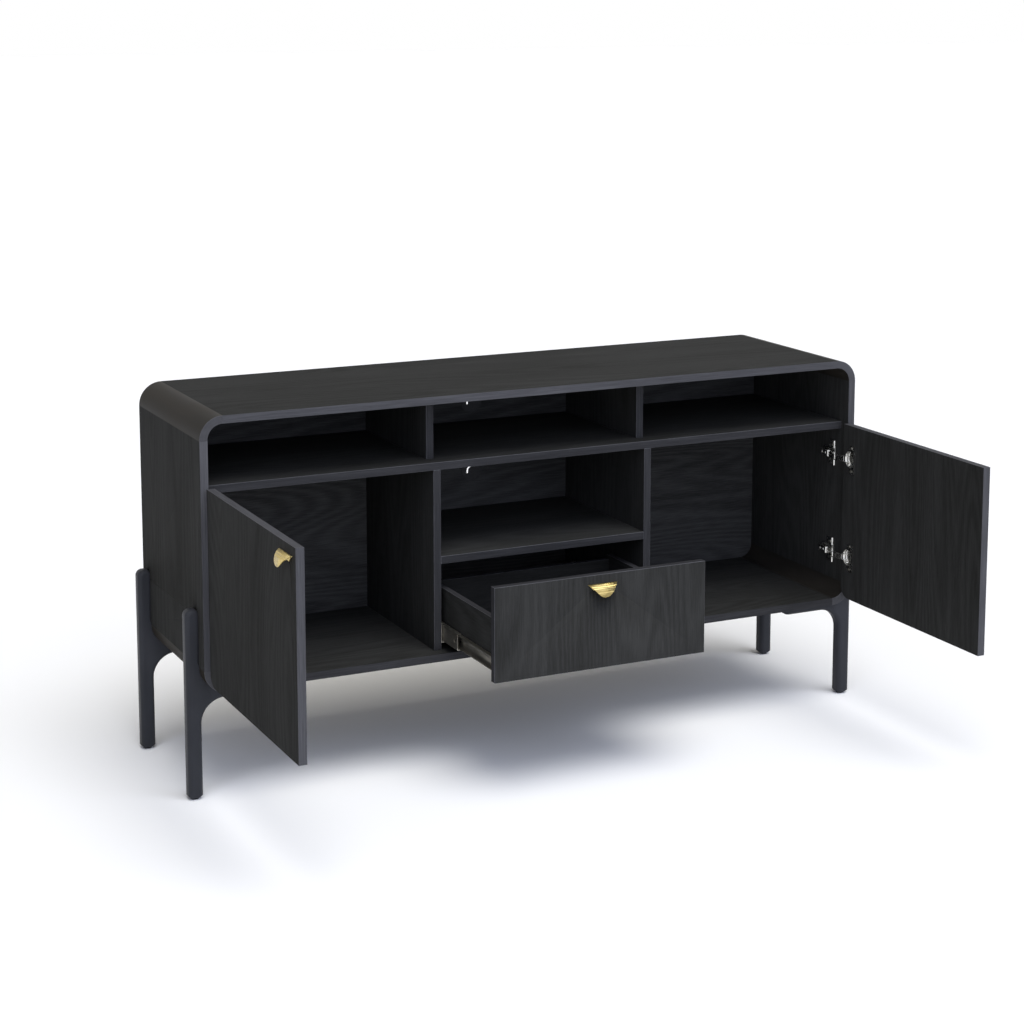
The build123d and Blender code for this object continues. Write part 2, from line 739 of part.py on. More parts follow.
def hinge_link(z):
    """The bright channel between the cup's pin and the arm's nose, placed for the open door."""
    turn = math.radians(-door_open_angle)
    away = (link_pin[0] - pivot[0], link_pin[1] - pivot[1])
    start = (
        pivot[0] + away[0] * math.cos(turn) - away[1] * math.sin(turn),
        pivot[1] + away[0] * math.sin(turn) + away[1] * math.cos(turn),
    )
    length = math.hypot(nose[0] - start[0], nose[1] - start[1])
    direction = ((nose[0] - start[0]) / length, (nose[1] - start[1]) / length)
    plates = []
    for side in (-1, 1):
        outer = z + side * link_width / 2
        span = sorted((outer, outer - side * link_plate))
        strip = prism(
            [
                along(start, direction, 0, -link_back_side),
                along(start, direction, length, -link_back_side),
                along(start, direction, length, link_open_side),
                along(start, direction, 0, link_open_side),
            ],
            span,
        )
        strip = strip + rod_z(link_end_radius, start[0], start[1], span)
        strip = strip + rod_z(link_end_radius, nose[0], nose[1], span)
        plates.append(strip)
    web = prism(
        [
            along(start, direction, link_web_start, -link_back_side),
            along(start, direction, link_web_start + link_web_length, -link_back_side),
            along(start, direction, link_web_start + link_web_length, link_web_thickness - link_back_side),
            along(start, direction, link_web_start, link_web_thickness - link_back_side),
        ],
        (z - link_width / 2, z + link_width / 2),
    )
    link = plates[0] + plates[1] + web
    eye = rod_z(link_pin_radius + link_pin_play, start[0], start[1], (z - link_width, z + link_width))
    return link - eye


cups = [hinge_cup(z) for z in hinge_heights]
cup_fixings = [screw for z in hinge_heights for screw in cup_screws(z)]
pins = [hinge_pin(z, link_pin_radius) for z in hinge_heights]
plates = [hinge_plate(z) for z in hinge_heights]
plate_fixings = [screw for z in hinge_heights for screw in plate_screws(z)]
arms = [hinge_arm(z) for z in hinge_heights]
links = [hinge_link(z) for z in hinge_heights]


# ---- pulls ------------------------------------------------------------------
def pull_solid():
    """A tab pull: a hood that curves out and down from a flat strip. Its top edge is on z = 0."""
    lean = (pull_fall**2 - pull_reach**2) / (2 * pull_reach)
    centre = (lean, -pull_fall)
    outer = pull_reach + lean
    inner = outer - pull_thickness
    middle = math.radians(pull_arc_middle)
    reach = math.sqrt(inner**2 - (lean + pull_thickness) ** 2)
    seat = -pull_thickness
    end = -pull_fall - pull_tip_rise - cutter_overrun
    with BuildSketch(Plane.YZ) as side_view:
        with BuildLine():
            Line((0, -pull_strip_height), (0, 0))
            ThreePointArc(
                (0, 0),
                (centre[0] - outer * math.cos(middle), centre[1] + outer * math.sin(middle)),
                (-pull_reach, centre[1]),
            )
            Line((-pull_reach, centre[1]), (-pull_reach, end))
            Line((-pull_reach, end), (-pull_reach - seat, end))
            Line((-pull_reach - seat, end), (-pull_reach - seat, centre[1]))
            ThreePointArc(
                (-pull_reach - seat, centre[1]),
                (centre[0] - inner * math.cos(middle), centre[1] + inner * math.sin(middle)),
                (seat, centre[1] + reach),
            )
            Line((seat, centre[1] + reach), (seat, -pull_strip_height))
            Line((seat, -pull_strip_height), (0, -pull_strip_height))
        make_face()
    sheet = extrude(side_view.sketch, pull_width / 2, both=True)
    shoulder = pull_width / 2
    side = [(shoulder * across, -pull_fall * down) for across, down in pull_side]
    tip_x, tip_z = side[-1]
    with BuildSketch(Plane.XZ) as front_view:
        with BuildLine():
            Line((-shoulder, cutter_overrun), (shoulder, cutter_overrun))
            Line((shoulder, cutter_overrun), side[0])
            Spline(*side)
            ThreePointArc((tip_x, tip_z), (0, -pull_fall - pull_tip_rise), (-tip_x, tip_z))
            Spline(*[(-x, z) for x, z in side[::-1]])
            Line((-shoulder, side[0][1]), (-shoulder, cutter_overrun))
        make_face()
    outline = extrude(front_view.sketch, 2 * pull_reach, both=True)
    return sheet & outline


def pull_studs(x, face, z):
    """Two studs from a pull into the panel behind it; face is the panel's front."""
    studs = []
    for side in (-1, 1):
        place = x + side * pull_stud_spacing / 2
        studs.append(rod_y(screw_diameter / 2, place, (face - pull_stud_bite, face + screw_bite), z))
    return studs


door_pull_x = door_free_x - pull_edge_setback - pull_width / 2
door_pull_z = door_high - pull_drop
door_pull_studs = pull_studs(door_pull_x, 0, door_pull_z - pull_strip_height / 2)
door_pull = cut(Pos(door_pull_x, 0, door_pull_z) * pull_solid(), door_pull_studs)

# ---- doors ------------------------------------------------------------------
door = block((door_hinge_x, door_free_x), (0, door_thickness), (door_low, door_high))
hinge_corner = door.edges().filter_by(Axis.Y).sort_by(Axis.Z)[:2].sort_by(Axis.X)[0]
door = fillet(hinge_corner, inner_radius - door_bottom_gap)
cup_bores = [rod_y(cup_diameter / 2, cup_x, (cup_floor, door_thickness), z) for z in hinge_heights]
door = cut(door, cup_bores + cup_fixings + door_pull_studs)

left_side = block((-half, -inner_half), full_depth, seam_z)
right_side = flip(left_side)
nodes["left_side_panel"] = cut(left_side, side_tools + plate_fixings)
nodes["right_side_panel"] = cut(right_side, side_tools + [flip(screw) for screw in plate_fixings])
nodes["hinge_plates"] = Compound(children=plates + [flip(plate) for plate in plates])
nodes["hinge_arms"] = Compound(children=arms + [flip(arm) for arm in arms])
nodes["hinge_plate_screws"] = Compound(children=plate_fixings + [flip(screw) for screw in plate_fixings])

door_set = {
    "door": door,
    "door_pull": door_pull,
    "hinge_cups": Compound(children=cups),
    "hinge_pins": Compound(children=pins),
    "door_screws": Compound(children=cup_fixings),
    "pull_studs": Compound(children=door_pull_studs),
}
for name, piece in door_set.items():
    opened = swing(piece)
    nodes["left_" + name] = opened
    nodes["right_" + name] = flip(opened)
left_links = Compound(children=links)
nodes["left_hinge_links"] = left_links
nodes["right_hinge_links"] = flip(left_links)


# ---- drawer, drawn closed ---------------------------------------------------
def drawer_joint_screws():
    """Screws through each drawer side into the end of the back."""
    screws = []
    for side in (-1, 1):
        for drop in drawer_joint_drops:
            z = drawer_high - drawer_back_drop - drop
            outer = side * drawer_side_outer
            inner = side * (drawer_side_outer - drawer_side_thickness - 2 * screw_bite)
            y = drawer_rear + drawer_side_thickness / 2
            screws.append(rod_x(screw_diameter / 2, (outer, inner), y, z))
    return screws


def drawer_front_dowels():
    """Dowels between the drawer front and its sides."""
    dowels = []
    for side in (-1, 1):
        for z in (drawer_low + 2 * dowel_deep, drawer_high - dowel_deep):
            x = side * (drawer_side_outer - drawer_side_thickness / 2)
            span = (door_thickness - dowel_shallow, door_thickness + dowel_deep)
            dowels.append(rod_y(corner_dowel_diameter / 2, x, span, z))
    return dowels


def slide_member(side, wall, flange, outer_height, y_range):
    """A channel of one web and two flanges, both given by distances from the divider towards the drawer."""

    def at(distance):
        return side * (bay_half - distance)

    h = outer_height / 2
    web = block((at(wall[0]), at(wall[1])), y_range, (slide_z - h, slide_z + h))
    top = block((at(flange[0]), at(flange[1])), y_range, (slide_z + h - slide_wall, slide_z + h))
    low = block((at(flange[0]), at(flange[1])), y_range, (slide_z - h, slide_z - h + slide_wall))
    return web + top + low


def make_slide(side):
    """The three members of one slide, its retainers and its screws, drawer closed."""
    middle_height = middle_member_height
    cabinet_height = middle_height + 2 * (ball_gap + slide_wall)
    drawer_height = middle_height - 2 * (slide_wall + ball_gap)
    middle_wall = (2 * slide_wall, 3 * slide_wall)
    full = (slide_front, slide_front + slide_length)
    cabinet = slide_member(side, (0, slide_wall), (0, slide_wall + cabinet_flange), cabinet_height, full)
    travel = (middle_member_front, middle_member_front + middle_member_length)
    middle_reach = (middle_wall[0], middle_wall[1] + middle_flange)
    middle = slide_member(side, middle_wall, middle_reach, middle_height, travel)
    outer_wall = (slide_space - slide_wall, slide_space)
    drawer_reach = (outer_wall[0] - drawer_flange, outer_wall[1])
    drawer_part = slide_member(side, outer_wall, drawer_reach, drawer_height, full)

    def at(distance):
        return side * (bay_half - distance)

    cabinet_screws = []
    for place in cabinet_screw_places:
        y = slide_front + place
        head_x = (at(slide_wall), at(slide_wall + slide_screw_head_height))
        head = rod_x(slide_screw_head / 2, head_x, y, slide_z)
        shank = rod_x(screw_diameter / 2, (at(slide_wall), at(-screw_bite)), y, slide_z)
        cabinet_screws.append(head + shank)
    drawer_screws = []
    face = slide_space - slide_wall
    point = slide_space + drawer_side_thickness * slide_screw_bite
    for place in drawer_screw_places:
        y = slide_front + place
        head = rod_x(slide_screw_head / 2, (at(face), at(face - slide_screw_head_height)), y, slide_z)
        shank = rod_x(screw_diameter / 2, (at(face), at(point)), y, slide_z)
        drawer_screws.append(head + shank)

    windows = []
    for step in range(window_count):
        y = middle_member_front + window_first + window_pitch * step
        windows.append(rod_x(window_radius, (at(0), at(slide_space / 2)), y, slide_z))
    middle = cut(middle, windows)

    strips = []
    first = middle_member_front + retainer_setback
    pitch = retainer_length / balls_per_row
    for up in (-1, 1):
        for surface, away in ((middle_height / 2, 1), (middle_height / 2 - slide_wall, -1)):
            reach = middle_wall[1] + middle_flange
            near = reach - retainer_width if away < 0 else middle_wall[1]
            low = slide_z + up * surface
            strip = block(
                (at(near), at(near + retainer_width)),
                (first, first + retainer_length),
                (low, low + up * away * retainer_thickness),
            )
            for ball in range(balls_per_row):
                y = first + pitch * (ball + 0.5)
                z = low + up * away * ball_gap / 2
                strip = strip + Pos(at(near + retainer_width / 2), y, z) * Sphere(ball_diameter / 2)
            strips.append(strip)
    return cabinet, middle, drawer_part, cabinet_screws, drawer_screws, strips


def drawer_pull_out_move(shape):
    """From closed to the rest pose."""
    return Pos(0, -drawer_pull_out, 0) * shape


front_dowels = drawer_front_dowels()
back_screws = drawer_joint_screws()
drawer_pull_z = drawer_front_high - pull_drop
drawer_pull_studs = pull_studs(0, 0, drawer_pull_z - pull_strip_height / 2)
bottom_z = (drawer_low + drawer_bottom_rise, drawer_low + drawer_bottom_rise + drawer_bottom_thickness)
tray = block(
    (-drawer_side_inner - drawer_groove, drawer_side_inner + drawer_groove),
    (door_thickness - drawer_groove, drawer_rear + drawer_groove),
    bottom_z,
)
slides = {"left": make_slide(-1), "right": make_slide(1)}
all_drawer_screws = slides["left"][4] + slides["right"][4]
all_cabinet_screws = slides["left"][3] + slides["right"][3]

front_x = (-drawer_front_half, drawer_front_half)
front = block(front_x, (0, door_thickness), (drawer_front_low, drawer_front_high))
drawer = {"drawer_front": cut(front, front_dowels + drawer_pull_studs + [tray])}
for name, side in (("left", -1), ("right", 1)):
    board_x = (side * drawer_side_inner, side * drawer_side_outer)
    wall = block(board_x, (door_thickness, drawer_box_rear), (drawer_low, drawer_high))
    drawer["drawer_%s_side" % name] = cut(wall, front_dowels + back_screws + all_drawer_screws + [tray])
rear_x = (-drawer_side_inner, drawer_side_inner)
rear = block(rear_x, (drawer_rear, drawer_box_rear), (drawer_low, drawer_high - drawer_back_drop))
drawer["drawer_back"] = cut(rear, back_screws + [tray])
drawer["drawer_bottom"] = tray
drawer["drawer_pull"] = cut(Pos(0, 0, drawer_pull_z) * pull_solid(), drawer_pull_studs)
drawer["drawer_pull_studs"] = Compound(children=drawer_pull_studs)
drawer["drawer_box_screws"] = Compound(children=back_screws)
drawer["drawer_dowels"] = Compound(children=front_dowels)
drawer["slide_drawer_screws"] = Compound(children=all_drawer_screws)
for name, slide in slides.items():
    drawer[name + "_slide_drawer_member"] = cut(slide[2], all_drawer_screws)
    nodes[name + "_slide_cabinet_member"] = cut(slide[0], all_cabinet_screws)
    nodes[name + "_slide_middle_member"] = Pos(0, -drawer_pull_out / 2, 0) * slide[1]
retainers = Compound(children=slides["left"][5] + slides["right"][5])
nodes["ball_retainers"] = Pos(0, -drawer_pull_out / 2, 0) * retainers
nodes["slide_cabinet_screws"] = Compound(children=all_cabinet_screws)
for name in ("left", "right"):
    key = "lower_%s_divider" % name
    nodes[key] = cut(nodes[key], all_cabinet_screws)
for name, piece in drawer.items():
    nodes[name] = drawer_pull_out_move(piece)

# ---- export -----------------------------------------------------------------
os.makedirs("parts", exist_ok=True)
for name, piece in nodes.items():
    export_step(Pos(0, origin_shift, 0) * piece, "parts/%s.step" % name)
print("nodes", len(nodes))
print("origin shift", round(origin_shift, 3), "door tip", round(door_tip_y, 3))
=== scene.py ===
import json
import math

import bmesh
import bpy
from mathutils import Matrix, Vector

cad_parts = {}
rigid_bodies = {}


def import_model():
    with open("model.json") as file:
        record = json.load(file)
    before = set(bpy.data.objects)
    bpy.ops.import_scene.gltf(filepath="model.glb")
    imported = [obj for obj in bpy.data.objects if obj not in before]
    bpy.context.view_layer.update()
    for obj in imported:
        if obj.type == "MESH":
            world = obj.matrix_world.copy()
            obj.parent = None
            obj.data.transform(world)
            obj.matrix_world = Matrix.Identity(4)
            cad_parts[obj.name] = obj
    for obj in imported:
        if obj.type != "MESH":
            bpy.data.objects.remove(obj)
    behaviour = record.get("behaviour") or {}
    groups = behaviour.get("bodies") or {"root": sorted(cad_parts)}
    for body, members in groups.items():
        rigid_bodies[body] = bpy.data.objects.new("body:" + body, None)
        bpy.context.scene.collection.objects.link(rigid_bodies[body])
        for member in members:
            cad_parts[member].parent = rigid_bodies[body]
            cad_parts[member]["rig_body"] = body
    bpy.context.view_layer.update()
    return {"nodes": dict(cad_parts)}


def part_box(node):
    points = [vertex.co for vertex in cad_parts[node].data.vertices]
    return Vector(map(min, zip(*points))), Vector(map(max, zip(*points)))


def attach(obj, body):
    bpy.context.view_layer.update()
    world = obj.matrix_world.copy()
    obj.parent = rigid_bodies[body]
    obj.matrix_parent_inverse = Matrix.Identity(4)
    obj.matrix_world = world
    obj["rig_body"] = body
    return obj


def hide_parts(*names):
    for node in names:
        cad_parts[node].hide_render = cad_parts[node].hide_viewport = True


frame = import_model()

MM = 0.001
AXES = {"X": 0, "Y": 1, "Z": 2}


# ---------------------------------------------------------------- shader helpers


def linear(code):
    """An sRGB hex colour as the linear RGBA that a shader socket takes."""
    parts = [int(code[i : i + 2], 16) / 255 for i in (1, 3, 5)]
    return [c / 12.92 if c <= 0.04045 else ((c + 0.055) / 1.055) ** 2.4 for c in parts] + [1.0]


def add(tree, kind, sockets=None, stops=(), **settings):
    """One node with its own settings. A socket given a node takes its first output, one given an output is
    linked to it, and any other value is set. Stops are a colour ramp's places and hex colours."""
    node = tree.nodes.new(kind)
    for name, value in settings.items():
        setattr(node, name, value)
    for key, value in (sockets or {}).items():
        if isinstance(value, bpy.types.Node):
            value = value.outputs[0]
        if isinstance(value, bpy.types.NodeSocket):
            tree.links.new(value, node.inputs[key])
        else:
            node.inputs[key].default_value = value
    for _ in stops[2:]:
        node.color_ramp.elements.new(0.5)
    for number, (place, code) in enumerate(stops):
        node.color_ramp.elements[number].position = place
        node.color_ramp.elements[number].color = linear(code)
    return node


def new_finish(name, **shader_values):
    """An empty material with its principled shader, whose constant values are set on its own sockets."""
    material = bpy.data.materials.new(name)
    material.use_nodes = True
    tree = material.node_tree
    tree.nodes.clear()
    values = {key.replace("_", " "): value for key, value in shader_values.items()}
    shader = add(tree, "ShaderNodeBsdfPrincipled", values)
    add(tree, "ShaderNodeOutputMaterial", {"Surface": shader})
    return material, tree, shader


def along(tree, axis, length_mm, width_mm):
    """Object coordinates squeezed so that a noise cell is length_mm along the axis and width_mm across it."""
    place = add(tree, "ShaderNodeTexCoord").outputs["Object"]
    scale = [1000 / width_mm] * 3
    scale[AXES[axis]] = 1000 / length_mm
    return add(tree, "ShaderNodeMapping", {"Vector": place, "Scale": scale})


# ---------------------------------------------------------------- finishes

NOISE = "ShaderNodeTexNoise"
RAMP = "ShaderNodeValToRGB"
MATH = "ShaderNodeMath"
RANGE = "ShaderNodeMapRange"
BUMP = "ShaderNodeBump"
SOFT = "SMOOTHSTEP"


def oak_laminate(name, axis, dark, middle, light):
    """Melamine board with a pressed black-stained oak decor: growth rings some 8 mm apart in flames along the
    board, and open pores that read as short dull scratches."""
    material, tree, shader = new_finish(name + axis.lower(), Roughness=0.62, Specular_IOR_Level=0.004)
    flame_place = along(tree, axis, 1500, 150)
    flame = add(tree, NOISE, {"Vector": flame_place, "Scale": 1.0, "Detail": 1.0, "Roughness": 0.4})
    many_rings = add(tree, MATH, {0: flame, 1: 34.0}, operation="MULTIPLY")
    ring = add(tree, MATH, {0: many_rings}, operation="FRACT")
    swell = add(tree, MATH, {0: ring, 1: 0.5}, operation="PINGPONG")
    swell_range = {"Value": swell, "From Min": 0.05, "From Max": 0.48}
    late_wood = add(tree, RANGE, swell_range, interpolation_type=SOFT)

    # pores of real oak are 0.3 mm wide; these are 1.5 mm, the finest that still shows from across a room
    pore_place = along(tree, axis, 38, 1.5)
    streaks = add(tree, NOISE, {"Vector": pore_place, "Scale": 1.0, "Detail": 2.0, "Roughness": 0.6})
    pore_range = {"Value": streaks, "From Min": 0.52, "From Max": 0.68}
    pores = add(tree, RANGE, pore_range, interpolation_type=SOFT)

    cloud_place = along(tree, axis, 420, 95)
    cloud = add(tree, NOISE, {"Vector": cloud_place, "Scale": 1.0, "Detail": 2.0, "Roughness": 0.5})
    cloud_range = {"Value": cloud, "From Min": 0.3, "From Max": 0.7}
    soft_cloud = add(tree, RANGE, cloud_range, interpolation_type=SOFT)

    ring_tone = add(tree, MATH, {0: late_wood, 1: 0.17}, operation="MULTIPLY")
    streak_tone = add(tree, MATH, {0: streaks, 1: 0.8}, operation="MULTIPLY")
    cloud_tone = add(tree, MATH, {0: soft_cloud, 1: 0.22}, operation="MULTIPLY")
    body = add(tree, MATH, {0: ring_tone, 1: streak_tone}, operation="ADD")
    tone = add(tree, MATH, {0: body, 1: cloud_tone}, operation="ADD")
    colour = add(tree, RAMP, {"Fac": tone}, stops=[(0.2, dark), (0.5, middle), (0.85, light)])

    dull_range = {"Value": pores, "To Min": 0.56, "To Max": 0.7}
    dullness = add(tree, RANGE, dull_range, interpolation_type=SOFT)

    early_wood = add(tree, MATH, {0: 1.15, 1: late_wood}, operation="SUBTRACT")
    sunk = add(tree, MATH, {0: pores, 1: early_wood}, operation="MULTIPLY")
    raised = add(tree, MATH, {0: late_wood, 1: 0.25}, operation="MULTIPLY")
    height = add(tree, MATH, {0: raised, 1: sunk}, operation="SUBTRACT")
    relief = add(tree, BUMP, {"Height": height, "Strength": 0.55, "Distance": 0.25 * MM})

    tree.links.new(colour.outputs[0], shader.inputs["Base Color"])
    tree.links.new(dullness.outputs[0], shader.inputs["Roughness"])
    tree.links.new(relief.outputs[0], shader.inputs["Normal"])
    return material


def edge_banding(name, axis, dark, middle, light):
    """Printed ABS edge tape, a shade greyer than the faces, with straight lengthwise grain."""
    material, tree, shader = new_finish(name + axis.lower(), Roughness=0.5, Specular_IOR_Level=0.01)
    streak_place = along(tree, axis, 60, 1.6)
    streaks = add(tree, NOISE, {"Vector": streak_place, "Scale": 1.0, "Detail": 3.0, "Roughness": 0.6})
    length_place = along(tree, axis, 260, 9)
    lengths = add(tree, NOISE, {"Vector": length_place, "Scale": 1.0, "Detail": 1.0, "Roughness": 0.5})
    streak_tone = add(tree, MATH, {0: streaks, 1: 0.7}, operation="MULTIPLY")
    length_tone = add(tree, MATH, {0: lengths, 1: 0.3}, operation="MULTIPLY")
    tone = add(tree, MATH, {0: streak_tone, 1: length_tone}, operation="ADD")
    colour = add(tree, RAMP, {"Fac": tone}, stops=[(0.3, dark), (0.5, middle), (0.72, light)])
    dull_range = {"Value": streaks, "From Min": 0.3, "From Max": 0.7, "To Min": 0.56, "To Max": 0.46}
    dullness = add(tree, RANGE, dull_range, interpolation_type=SOFT)
    relief = add(tree, BUMP, {"Height": streaks, "Strength": 0.3, "Distance": 0.12 * MM})
    tree.links.new(colour.outputs[0], shader.inputs["Base Color"])
    tree.links.new(dullness.outputs[0], shader.inputs["Roughness"])
    tree.links.new(relief.outputs[0], shader.inputs["Normal"])
    return material


def highlight_arris_finish():
    """The broken corner of the edge tape, coloured paler than the tape as a thin line: a painted highlight
    along the edge.
    """
    material, tree, shader = new_finish("edge_arris_painted_highlight", Roughness=0.45, Specular_IOR_Level=0.04)
    nick_place = along(tree, "X", 14, 14)
    nicks = add(tree, NOISE, {"Vector": nick_place, "Scale": 1.0, "Detail": 3.0, "Roughness": 0.65})
    colour = add(tree, RAMP, {"Fac": nicks}, stops=[(0.3, "#49494c"), (0.7, "#5b5b5f")])
    relief = add(tree, BUMP, {"Height": nicks, "Strength": 0.2, "Distance": 0.1 * MM})
    tree.links.new(colour.outputs[0], shader.inputs["Base Color"])
    tree.links.new(relief.outputs[0], shader.inputs["Normal"])
    return material


def corner_lacquer(name, dark, light, rough):
    """Formed corner rail sprayed with satin lacquer: even colour, a faint orange peel 3 mm across and a soft
    long highlight."""
    material, tree, shader = new_finish(name, Roughness=rough, Specular_IOR_Level=0.02)
    peel_place = along(tree, "X", 3, 3)
    peel = add(tree, NOISE, {"Vector": peel_place, "Scale": 1.0, "Detail": 1.0, "Roughness": 0.5})
    drift_place = along(tree, "Y", 160, 30)
    drift = add(tree, NOISE, {"Vector": drift_place, "Scale": 1.0, "Detail": 2.0, "Roughness": 0.5})
    colour = add(tree, RAMP, {"Fac": drift}, stops=[(0.3, dark), (0.7, light)])
    smooth, dull = rough - 0.03, rough + 0.05
    dull_range = {"Value": drift, "From Min": 0.3, "From Max": 0.7, "To Min": smooth, "To Max": dull}
    dullness = add(tree, RANGE, dull_range, interpolation_type=SOFT)
    relief = add(tree, BUMP, {"Height": peel, "Strength": 0.12, "Distance": 0.06 * MM})
    tree.links.new(colour.outputs[0], shader.inputs["Base Color"])
    tree.links.new(dullness.outputs[0], shader.inputs["Roughness"])
    tree.links.new(relief.outputs[0], shader.inputs["Normal"])
    return material


def leg_paint():
    """Wooden legs sprayed with satin charcoal paint: slightly blue, with an orange peel 2 mm across."""
    material, tree, shader = new_finish("satin_charcoal_paint", Roughness=0.36, Specular_IOR_Level=0.06)
    peel_place = along(tree, "X", 2.2, 2.2)
    peel = add(tree, NOISE, {"Vector": peel_place, "Scale": 1.0, "Detail": 2.0, "Roughness": 0.55})
    drift_place = along(tree, "Z", 140, 60)
    drift = add(tree, NOISE, {"Vector": drift_place, "Scale": 1.0, "Detail": 2.0, "Roughness": 0.5})
    colour = add(tree, RAMP, {"Fac": drift}, stops=[(0.3, "#2f3033"), (0.7, "#38393d")])
    dull_range = {"Value": peel, "From Min": 0.3, "From Max": 0.7, "To Min": 0.32, "To Max": 0.42}
    dullness = add(tree, RANGE, dull_range, interpolation_type=SOFT)
    relief = add(tree, BUMP, {"Height": peel, "Strength": 0.16, "Distance": 0.08 * MM})
    tree.links.new(colour.outputs[0], shader.inputs["Base Color"])
    tree.links.new(dullness.outputs[0], shader.inputs["Roughness"])
    tree.links.new(relief.outputs[0], shader.inputs["Normal"])
    return material


def moulded_abs(name, dark, light, rough):
    """Injection-moulded ABS with a spark-eroded grain. The real grain is a fraction of a millimetre and is
    drawn at 1.5 mm so that it shows."""
    material, tree, shader = new_finish(name, Roughness=rough, Specular_IOR_Level=0.2)
    grain_place = along(tree, "X", 1.5, 1.5)
    grain = add(tree, NOISE, {"Vector": grain_place, "Scale": 1.0, "Detail": 2.0, "Roughness": 0.6})
    colour = add(tree, RAMP, {"Fac": grain}, stops=[(0.35, dark), (0.65, light)])
    smooth, dull = rough - 0.05, rough + 0.07
    dull_range = {"Value": grain, "From Min": 0.3, "From Max": 0.7, "To Min": smooth, "To Max": dull}
    dullness = add(tree, RANGE, dull_range, interpolation_type=SOFT)
    relief = add(tree, BUMP, {"Height": grain, "Strength": 0.25, "Distance": 0.05 * MM})
    tree.links.new(colour.outputs[0], shader.inputs["Base Color"])
    tree.links.new(dullness.outputs[0], shader.inputs["Roughness"])
    tree.links.new(relief.outputs[0], shader.inputs["Normal"])
    return material


def metal(name, dark, light, rough, brushed, line_mm, relief):
    """Metal with rolling or brushing lines of a length and width along one axis, and a cloudy plating."""
    material, tree, shader = new_finish(name, Metallic=1.0, Roughness=rough)
    line_place = along(tree, brushed, *line_mm)
    lines = add(tree, NOISE, {"Vector": line_place, "Scale": 1.0, "Detail": 3.0, "Roughness": 0.6})
    cloud_place = along(tree, brushed, 24, 12)
    cloud = add(tree, NOISE, {"Vector": cloud_place, "Scale": 1.0, "Detail": 2.0, "Roughness": 0.5})
    line_tone = add(tree, MATH, {0: lines, 1: 0.6}, operation="MULTIPLY")
    cloud_tone = add(tree, MATH, {0: cloud, 1: 0.4}, operation="MULTIPLY")
    tone = add(tree, MATH, {0: line_tone, 1: cloud_tone}, operation="ADD")
    colour = add(tree, RAMP, {"Fac": tone}, stops=[(0.35, dark), (0.65, light)])
    smooth, dull = rough - 0.05, rough + 0.08
    dull_range = {"Value": lines, "From Min": 0.3, "From Max": 0.7, "To Min": smooth, "To Max": dull}
    dullness = add(tree, RANGE, dull_range, interpolation_type=SOFT)
    scratches = add(tree, BUMP, {"Height": lines, "Strength": relief, "Distance": 0.04 * MM})
    tree.links.new(colour.outputs[0], shader.inputs["Base Color"])
    tree.links.new(dullness.outputs[0], shader.inputs["Roughness"])
    tree.links.new(scratches.outputs[0], shader.inputs["Normal"])
    return material


def turned_beech():
    """Turned beech dowel: pale brown with short dark flecks."""
    material, tree, shader = new_finish("beech_dowel", Roughness=0.6, Specular_IOR_Level=0.3)
    fleck_place = along(tree, "X", 4, 1.2)
    flecks = add(tree, NOISE, {"Vector": fleck_place, "Scale": 1.0, "Detail": 2.0, "Roughness": 0.6})
    colour = add(tree, RAMP, {"Fac": flecks}, stops=[(0.35, "#a9825a"), (0.6, "#d2b088")])
    relief = add(tree, BUMP, {"Height": flecks, "Strength": 0.3, "Distance": 0.1 * MM})
    tree.links.new(colour.outputs[0], shader.inputs["Base Color"])
    tree.links.new(relief.outputs[0], shader.inputs["Normal"])
    return material


OAK = {axis: oak_laminate("black_oak_laminate_", axis, "#262624", "#2f2f2e", "#383837") for axis in AXES}
# A lighter copy of the decor for the back panel: painted light for the light that reaches the back of the
# open bays.
OAK_BACK_PAINTED_LIGHT = {"X": oak_laminate("black_oak_printed_back_painted_light_", "X", "#282828", "#393939", "#4b4b4b")}
BANDING = {axis: edge_banding("oak_edge_banding_", axis, "#3f3f41", "#4a4a4d", "#565659") for axis in AXES}
# A darker copy of the same edge tape for the bottom, shelves, dividers and drawer: painted shade for the less
# light that reaches those edges.
PAINTED_SHADE_TAPE_HEX = ("#2c2c2e", "#343436", "#3e3e40")
PAINTED_SHADE_BANDING = {axis: edge_banding("edge_banding_painted_shade_", axis, *PAINTED_SHADE_TAPE_HEX) for axis in AXES}
PAINTED_HIGHLIGHT_ARRIS = highlight_arris_finish()
CORNER = corner_lacquer("corner_satin_lacquer", "#262421", "#302d29", rough=0.38)
CORNER_END = corner_lacquer("corner_end_lacquer", "#434345", "#4c4c4f", rough=0.45)
LEG_PAINT = leg_paint()
COVER_ABS = moulded_abs("charcoal_moulded_abs", "#2a2a2b", "#363637", rough=0.45)
GLIDE_ABS = moulded_abs("black_moulded_glide", "#131313", "#1c1c1c", rough=0.5)
BRASS = metal("brushed_satin_brass", "#c0a968", "#d9c68a", 0.3, "X", line_mm=(9, 0.5), relief=0.1)
NICKEL = metal("bright_nickel_plate", "#c4c3bf", "#e2e1dc", 0.2, "Z", line_mm=(6, 2.5), relief=0.1)
ZINC = metal("zinc_passivated_steel", "#8c8880", "#aaa69c", 0.38, "Y", line_mm=(22, 0.9), relief=0.25)
SCREW_STEEL = metal("zinc_plated_screw_steel", "#83827e", "#a8a7a2", 0.32, "X", line_mm=(2, 2), relief=0.2)
DARK_STEEL = metal("blackened_screw_steel", "#3a3a3b", "#565657", 0.42, "X", line_mm=(2, 2), relief=0.2)
BEECH = turned_beech()


# ---------------------------------------------------------------- solids from the frame

WELD = 0.002 * MM  # corners nearer than this are one corner
ON_PLANE = 0.02 * MM  # how far a face may lie from the side it counts as
FLAT_DEG = 0.3  # faces that turn by less are one flat face
HARD_DEG = 50  # edges that turn by more are broken on pressed, cast and plated parts
SEAM_MM = 0.35  # bevel that draws the hairline at a joint


